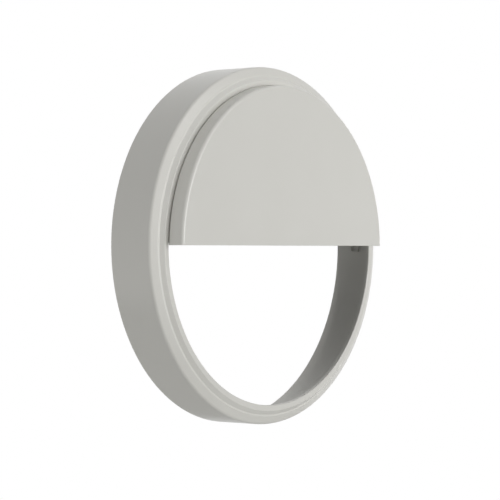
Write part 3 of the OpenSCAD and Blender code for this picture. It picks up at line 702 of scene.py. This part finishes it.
# %% Five tabs on the visor
def welded(first, second):
    """The union of two bmeshes, as a new bmesh."""
    holders = []
    for shape in (first, second):
        bmesh.ops.recalc_face_normals(shape, faces=shape.faces)
        mesh = bpy.data.meshes.new("part")
        shape.to_mesh(mesh)
        shape.free()
        holders.append(bpy.data.objects.new("part", mesh))
        bpy.context.scene.collection.objects.link(holders[-1])
    weld = holders[0].modifiers.new("weld", "BOOLEAN")
    weld.operation = "UNION"
    weld.object = holders[1]
    result = bmesh.new()
    result.from_object(holders[0], bpy.context.evaluated_depsgraph_get())
    for holder in holders:
        bpy.data.objects.remove(holder)
    return result


first_tab = tabs.verts[:] + tabs.edges[:] + tabs.faces[:]
to_first = Matrix.Rotation(math.radians(TAB_ANGLES[0] - TAB_SPAN / 2), 4, OUT_OF_WALL)
bmesh.ops.rotate(tabs, verts=tabs.verts, cent=(0, 0, 0), matrix=to_first)
bmesh.ops.spin(tabs, geom=first_tab, cent=(0, 0, 0), axis=OUT_OF_WALL, use_duplicate=True,
               angle=math.radians(TAB_ANGLES[-1] - TAB_ANGLES[0]), steps=len(TAB_ANGLES) - 1)
new_piece("visor_shell", welded(visor, tabs), [trim], "visor")

# %% [markdown]
# ## Softened solids
# Castings, mouldings and screw heads have small radii on every edge, which the exact solids leave
# out. Modelling 27 pieces again would only repeat their solids. A copy of each solid's mesh is
# merged into one skin instead, its flat faces are dissolved into whole ones, and every edge
# sharper than 30 degrees is bevelled by a few tenths of a millimetre.

# %% Softened solids
SKIN_WELD = 0.002
FLAT_WITHIN = math.radians(0.5)
SOFTEN_FROM = math.radians(30)
SOFT_EDGES = {
    "base_pan": (0.4, powder), "gear_cover": (0.4, powder),
    "wall_gasket": (0.3, wall_foam),
    "cover_gasket": (0.15, silicone), "trough_gasket": (0.15, silicone),
    "cable_grommet": (0.3, rubber), "lead_grommet": (0.15, rubber),
    "cover_screws": (0.2, screw_steel), "clip_screws": (0.2, screw_steel),
    "board_screws": (0.15, screw_steel), "trough_screws": (0.2, screw_steel),
    "driver_screws": (0.2, screw_steel), "terminal_screws": (0.2, screw_steel),
    "spring_clips": (0.12, spring_steel),
    "lamp_board": (0.2, board_white), "lamp_socket": (0.25, socket_ivory),
    "opal_trough": (0.35, opal),
    "driver_case": (0.2, driver_alloy), "driver_end_caps": (0.35, black_plastic),
    "terminal_block": (0.2, grey_plastic),
    "lever_live": (0.12, live_brown), "lever_neutral": (0.12, neutral_blue),
    "lever_earth": (0.12, earth_green),
    "earth_stud": (0.3, brass), "earth_nut": (0.3, brass),
    "earth_washer": (0.15, tinned), "earth_tag": (0.12, tinned),
}
for node, (radius, material) in SOFT_EDGES.items():
    skin = bmesh.new()
    skin.from_mesh(frame["nodes"][node].data)
    bmesh.ops.remove_doubles(skin, verts=skin.verts, dist=SKIN_WELD * MM)
    bmesh.ops.dissolve_limit(skin, angle_limit=FLAT_WITHIN, verts=skin.verts, edges=skin.edges)
    edges = [edge for edge in skin.edges if edge.calc_face_angle(0) > SOFTEN_FROM]
    bmesh.ops.bevel(skin, geom=edges, offset=radius * MM, segments=2, profile=0.5,
                    affect="EDGES", material=-1, clamp_overlap=True)
    new_piece(f"{node}_soft", skin, [material], node)

# %% [markdown]
# ## Lamp chips
# Each lamp chip is a white plastic frame round a well of yellow phosphor. A texture could colour a
# plain box, but the frame's inner edge would then catch no light. So one chip is a bevelled box
# whose lower face is inset twice, and its middle takes the phosphor and sinks a little into the
# frame. The same steps are repeated along the board, in two rows that pass on either side of the
# screws.

# %% Lamp chips
CHIP_SIZE = (3.5, 2.8, 0.8)
CHIP_HEIGHT = CHIP_SIZE[2]
CHIPS = 22
CHIP_PITCH = 9.3393
CHIP_STAGGER = 3.55
CHIP_ROUND = 0.3
FRAME_WIDTH = 0.35
WELL_SLOPE = 0.12
WELL_DEPTH = 0.14
LAMP_DEPTH = 19.25
BOARD_BOTTOM = 18.4
FACING_DOWN = -0.9

chips = bmesh.new()
size = Matrix.Diagonal((*(length * MM for length in CHIP_SIZE), 1))
for i in range(CHIPS):
    row = CHIP_STAGGER if i % 2 == 0 else -CHIP_STAGGER
    along = (i - (CHIPS - 1) / 2) * CHIP_PITCH
    middle = Vector((along, -LAMP_DEPTH - row, BOARD_BOTTOM - CHIP_HEIGHT / 2))
    place = Matrix.Translation(middle * MM)
    chip = bmesh.ops.create_cube(chips, size=1, matrix=place @ size)["verts"]
    edges = dict.fromkeys(edge for vert in chip for edge in vert.link_edges)
    upright = [edge for edge in edges
               if abs(edge.verts[0].co.z - edge.verts[1].co.z) > CHIP_HEIGHT / 2 * MM]
    bmesh.ops.bevel(chips, geom=upright, offset=CHIP_ROUND * MM, segments=3, profile=0.5,
                    affect="EDGES", material=-1)
chips.normal_update()
wells = [face for face in chips.faces if face.normal.z < FACING_DOWN]
bmesh.ops.inset_individual(chips, faces=wells, thickness=FRAME_WIDTH * MM, depth=0)
bmesh.ops.inset_individual(chips, faces=wells, thickness=WELL_SLOPE * MM, depth=-WELL_DEPTH * MM)
for face in wells:
    face.material_index = 1
new_piece("lamp_chip_rows", chips, [chip_white, phosphor], "lamp_chips")

# %% [markdown]
# ## Routes of the leads
# Five insulated leads join the driver to the supply terminal and to the lamp board, and the earth
# stud to the terminal. A route is a list of points (right, up, out of the wall) in millimetres.
# Long lists hide what the leads share, so three functions give the straight start, the straight
# way into a terminal and the way down to the board's socket, and only the bends between are
# listed.

# %% Routes of the leads
START_STEP = 4
DRIVER_OUT = 15.5
TERMINAL_OUT = 12.1
TERMINAL_HEIGHTS = (80, 76.5, 70)
DOWN_TO_BOARD = ((-123.463, 36), (-123.463, 27), (-123.463, 24), (-123.463, 18.4),
                 (-122.663, 17.3))
INTO_SOCKET = ((-116.063, 16.7), (-113.063, 16.7), (-109.063, 16.7))
SOCKET_SHIFT = 0.6


def straight(right, up, out, step):
    """The first three points of a lead, in a row to the right, or left for a negative step."""
    return [(right + i * step, up, out) for i in range(3)]


def into_terminal(right):
    return [(right, up, TERMINAL_OUT) for up in TERMINAL_HEIGHTS]


def onto_board(out, shift):
    """Down past the board's end, and then level into its socket, shifted out of the wall."""
    return ([(right, up, out) for right, up in DOWN_TO_BOARD]
            + [(right, up, out + shift) for right, up in INTO_SOCKET])


ROUTES = {
    "lead_live": straight(32, 65, DRIVER_OUT, START_STEP) + [(48, 78, DRIVER_OUT)]
                 + into_terminal(59),
    "lead_neutral": straight(32, 47, DRIVER_OUT, START_STEP) + [(46, 58, 19.5), (55, 85, 17.5)]
                    + into_terminal(70),
    "lead_earth": straight(-36.8, 96, 11, START_STEP)
                  + [(-18, 82, 12.5), (4, 77, 10.5), (70, 89, 11.5), (79, 86, TERMINAL_OUT)]
                  + into_terminal(81),
    "lead_plus": straight(-76, 65, DRIVER_OUT, -START_STEP) + [(-103, 54.5, 16.5)]
                 + onto_board(17.85, -SOCKET_SHIFT),
    "lead_minus": straight(-76, 47, DRIVER_OUT, -START_STEP) + [(-103, 45.5, 18.5)]
                  + onto_board(20.65, SOCKET_SHIFT),
}
print("points per lead:", {node: len(route) for node, route in ROUTES.items()})

# %% [markdown]
# ## Leads
# The leads are smooth and round. A circle could be swept along each route in a bmesh, but a curve
# with a round bevel turns its own corners and brings a UV map. A handle of a sixth of the way
# between a point's two neighbours gives the same bends as the solids have. A curve's end caps are
# loose from its tube, so both are welded.

# %% Leads
LEAD_R = 1.1
HANDLE_PART = 6
LEAD_WELD = 0.001
INSULATION = {"lead_live": wire_brown, "lead_neutral": wire_blue, "lead_earth": wire_striped,
              "lead_plus": wire_red, "lead_minus": wire_black}


def lead_shape(route):
    """A round tube along a route of (right, up, out of the wall) in millimetres."""
    places = [Vector((x, -out, up)) * MM for x, up, out in route]
    curve = bpy.data.curves.new("route", "CURVE")
    curve.dimensions = "3D"
    curve.bevel_depth = LEAD_R * MM
    curve.bevel_resolution = 4
    curve.use_fill_caps = True
    curve.resolution_u = 8
    spline = curve.splines.new("BEZIER")
    spline.bezier_points.add(len(places) - 1)
    for i, knot in enumerate(spline.bezier_points):
        step = (places[min(i + 1, len(places) - 1)] - places[max(i - 1, 0)]) / HANDLE_PART
        knot.co = places[i]
        knot.handle_left = places[i] - step
        knot.handle_right = places[i] + step
    holder = bpy.data.objects.new("route", curve)
    bpy.context.scene.collection.objects.link(holder)
    evaluated = holder.evaluated_get(bpy.context.evaluated_depsgraph_get())
    tube = bpy.data.meshes.new_from_object(evaluated)
    shape = bmesh.new()
    shape.from_mesh(tube)
    bmesh.ops.remove_doubles(shape, verts=shape.verts, dist=LEAD_WELD * MM)
    bpy.data.objects.remove(holder)
    bpy.data.meshes.remove(tube)
    return shape


for node, route in ROUTES.items():
    new_piece(f"{node}_round", lead_shape(route), [INSULATION[node]], node)

# %% [markdown]
# ## Ring
# The ring keeps its exact solid, which is already rounded at every ridge, and takes the trim
# plastic. A new mesh could only be less exact.

# %% Ring
ring_mesh = frame["nodes"]["trim_ring"].data
ring_mesh.materials.clear()
ring_mesh.materials.append(trim)
print("the ring has", len(ring_mesh.polygons), "triangles")

# %% [markdown]
